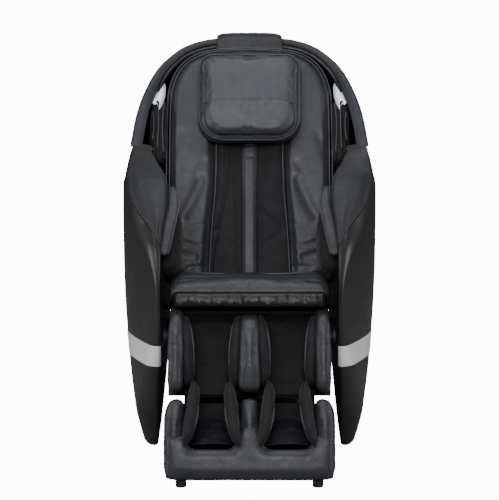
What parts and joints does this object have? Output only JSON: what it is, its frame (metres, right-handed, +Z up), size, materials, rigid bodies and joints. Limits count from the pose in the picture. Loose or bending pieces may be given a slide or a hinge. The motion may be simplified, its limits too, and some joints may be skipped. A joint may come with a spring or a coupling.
{
  "type": "massage chair",
  "caption": "Reclining massage chair with a hooded backrest, closed arm boxes, a travelling massage carriage, and a lifting leg rest with calf and foot wells.",
  "frame": {"origin": "on the floor, in the middle of the chair's box at rest", "axes": "the chair faces -Y, +X is to the right seen from the front, and +Z is up"},
  "size_m": [0.758, 1.2021, 1.216],
  "materials": {
    "frame_steel": "satin black powder coat",
    "rubber": "matte",
    "case_plastic": "fine grain",
    "pump_metal": "cast",
    "rod_steel": "polished",
    "leather": "soft synthetic leather with a light gloss",
    "stretch_fabric": "stretch knit",
    "side_leather": "smooth satin shell",
    "arm_leather": "matte fine-grained leather",
    "hood_skin": "matte fine-grained skin over a shell",
    "silver_trim": "silver painted",
    "roller_rubber": "semi-matte",
    "sole_leather": "matte"
  },
  "bodies": {
    "base": {"base_frame": "frame_steel", "base_feet": "rubber", "control_box": "case_plastic", "air_pump": "pump_metal", "valve_block": "case_plastic", "power_inlet": "case_plastic", "tilt_actuator": "case_plastic"},
    "wheel_left": {"wheel_left": "rubber"},
    "wheel_right": {"wheel_right": "rubber"},
    "rocker_switch": {"rocker_switch": "case_plastic"},
    "tilt_rod": {"tilt_rod": "rod_steel"},
    "seat": {"seat_frame": "frame_steel", "seat_pan": "frame_steel", "seat_cushion": "leather", "seat_skirt": "leather", "pivot_pins": "rod_steel", "recline_actuator": "case_plastic", "legrest_actuator": "case_plastic", "side_panel_left": "side_leather", "side_panel_right": "side_leather", "trim_band_left": "silver_trim", "trim_band_right": "silver_trim", "lower_panel_left": "side_leather", "lower_panel_right": "side_leather", "arm_cover_left": "arm_leather", "arm_cover_right": "arm_leather", "arm_inner_left": "side_leather", "arm_inner_right": "side_leather", "hand_flap_left": "leather", "hand_flap_right": "leather", "hand_pad_left": "stretch_fabric", "hand_pad_right": "stretch_fabric"},
    "recline_rod": {"recline_rod": "rod_steel"},
    "legrest_rod": {"legrest_rod": "rod_steel"},
    "backrest": {"back_frame": "frame_steel", "guide_rods": "rod_steel", "lead_screw": "rod_steel", "hood_shell": "hood_skin", "hood_rim": "hood_skin", "back_pad": "leather", "back_bands": "stretch_fabric", "centre_strip": "leather", "shoulder_pad_left": "stretch_fabric", "shoulder_pad_right": "stretch_fabric", "speaker_left": "silver_trim", "speaker_right": "silver_trim", "pillow_flap": "leather"},
    "pillow": {"pillow": "leather"},
    "carriage": {"massage_carriage": "frame_steel", "massage_motor": "case_plastic"},
    "knead_left": {"knead_head_left": "roller_rubber"},
    "knead_right": {"knead_head_right": "roller_rubber"},
    "legrest": {"legrest_frame": "frame_steel", "calf_shell": "leather", "calf_pads": "stretch_fabric"},
    "footrest": {"foot_shell": "leather", "foot_pads": "stretch_fabric", "foot_tubes": "rod_steel", "sole_plates": "sole_leather", "foot_glides": "rubber"}
  },
  "joints": [
    {"name": "zero_gravity_tilt", "type": "hinge", "parent": "base", "child": "seat", "pos_m": [0, 0.1, 0.27], "axis": [-1, 0, 0], "range_deg": [0, 16]},
    {"name": "recline", "type": "hinge", "parent": "seat", "child": "backrest", "pos_m": [0, 0.1, 0.47], "axis": [-1, 0, 0], "range_deg": [0, 38]},
    {"name": "legrest_lift", "type": "hinge", "parent": "seat", "child": "legrest", "pos_m": [0, -0.385, 0.375], "axis": [-1, 0, 0], "range_deg": [0, 70]},
    {"name": "foot_slide", "type": "slide", "parent": "legrest", "child": "footrest", "axis": [0, -0.3256, -0.9455], "range_m": [0, 0.1005]},
    {"name": "tilt_rod_slide", "type": "slide", "parent": "base", "child": "tilt_rod", "axis": [0, 0.3305, 0.9438], "range_m": [0, 0.08566]},
    {"name": "recline_rod_slide", "type": "slide", "parent": "seat", "child": "recline_rod", "axis": [0, -1, 0], "range_m": [0, 0.07212]},
    {"name": "legrest_rod_slide", "type": "slide", "parent": "seat", "child": "legrest_rod", "axis": [0, -1, 0], "range_m": [0, 0.10289]},
    {"name": "pillow_flip", "type": "hinge", "parent": "backrest", "child": "pillow", "pos_m": [0, 0.372, 1.187], "axis": [-1, 0, 0], "range_deg": [0, 100]},
    {"name": "massage_travel", "type": "slide", "parent": "backrest", "child": "carriage", "axis": [0, 0.3746, 0.9272], "range_m": [0, 0.4]},
    {"name": "knead_left", "type": "hinge", "parent": "carriage", "child": "knead_left", "pos_m": [-0.06, 0.16181, 0.62299], "axis": [0, 0.9272, -0.3746], "continuous": true},
    {"name": "knead_right", "type": "hinge", "parent": "carriage", "child": "knead_right", "pos_m": [0.06, 0.16181, 0.62299], "axis": [0, 0.9272, -0.3746], "continuous": true},
    {"name": "wheel_left_spin", "type": "hinge", "parent": "base", "child": "wheel_left", "pos_m": [-0.154, 0.388, 0.038], "axis": [1, 0, 0], "continuous": true},
    {"name": "wheel_right_spin", "type": "hinge", "parent": "base", "child": "wheel_right", "pos_m": [0.154, 0.388, 0.038], "axis": [1, 0, 0], "continuous": true},
    {"name": "power_rocker", "type": "hinge", "parent": "base", "child": "rocker_switch", "pos_m": [-0.072, 0.176, 0.09], "axis": [-1, 0, 0], "range_deg": [0, 12]}
  ],
  "couplings": [
    {"joint": "foot_slide", "follows": "legrest_lift", "m_per_rad": 0.081851},
    {"joint": "legrest_rod_slide", "follows": "legrest_lift", "m_per_rad": 0.083808},
    {"joint": "recline_rod_slide", "follows": "recline", "m_per_rad": 0.10799},
    {"joint": "tilt_rod_slide", "follows": "zero_gravity_tilt", "m_per_rad": 0.30495},
    {"joint": "knead_right", "follows": "knead_left", "ratio": -1}
  ]
}
